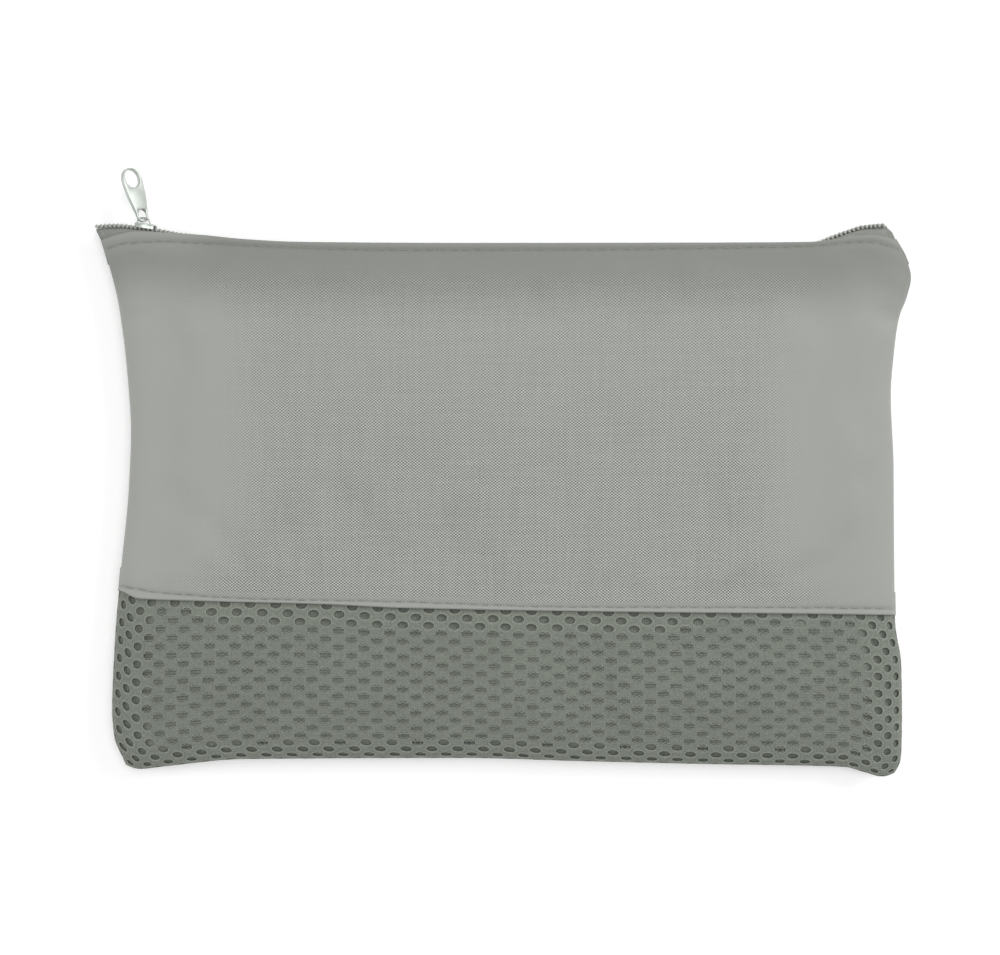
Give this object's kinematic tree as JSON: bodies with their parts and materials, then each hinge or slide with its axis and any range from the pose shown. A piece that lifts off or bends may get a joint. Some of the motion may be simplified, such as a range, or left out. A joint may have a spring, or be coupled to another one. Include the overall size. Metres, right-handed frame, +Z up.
{
  "type": "zip pouch",
  "caption": "Flat rectangular fabric pouch with a woven upper panel, a perforated mesh lower panel and a coil zip with a metal slider and pull tab along its top edge.",
  "frame": {"origin": "middle of the bounding box, on the table the pouch lies on", "axes": "+X along the zip, away from the slider's closed end; +Y across the pouch towards the zip; +Z up, out of the front panel"},
  "size_m": [0.2318, 0.174, 0.0135],
  "materials": {
    "woven_panel": "plain-woven nylon oxford, pale grey-green, matt with a faint sheen",
    "mesh": "perforated knitted mesh, darker grey-green",
    "lining": "plain matt lining",
    "binding": "woven seam binding",
    "zip_tape": "herringbone zip tape",
    "zip_coil": "nylon monofilament coil, satin",
    "thread": "polyester sewing thread",
    "nickel": "bright nickel plate"
  },
  "bodies": {
    "pouch": {"front_upper_panel": "woven_panel", "back_panel": "woven_panel", "mesh_panel": "mesh", "mesh_backing": "lining", "side_binding_left": "binding", "side_binding_right": "binding", "bottom_binding": "binding", "zip_tape_front": "zip_tape", "zip_tape_back": "zip_tape", "zip_coil_front": "zip_coil", "zip_coil_back": "zip_coil", "zip_topstitch_front": "thread", "zip_topstitch_back": "thread", "hem_topstitch": "thread"},
    "slider": {"slider_body": "nickel"},
    "pull": {"pull_tab": "nickel"}
  },
  "joints": [
    {"name": "zip_slide", "type": "hinge", "parent": "pouch", "child": "slider", "pos_m": [0.0146, 0.96115, 0.0069], "axis": [0, 0, 1], "range_deg": [0, 11.8]},
    {"name": "pull_swing", "type": "hinge", "parent": "slider", "child": "pull", "pos_m": [-0.10332, 0.07178, 0.0069], "axis": [0, 0, 1], "range_deg": [-60, 12]}
  ]
}
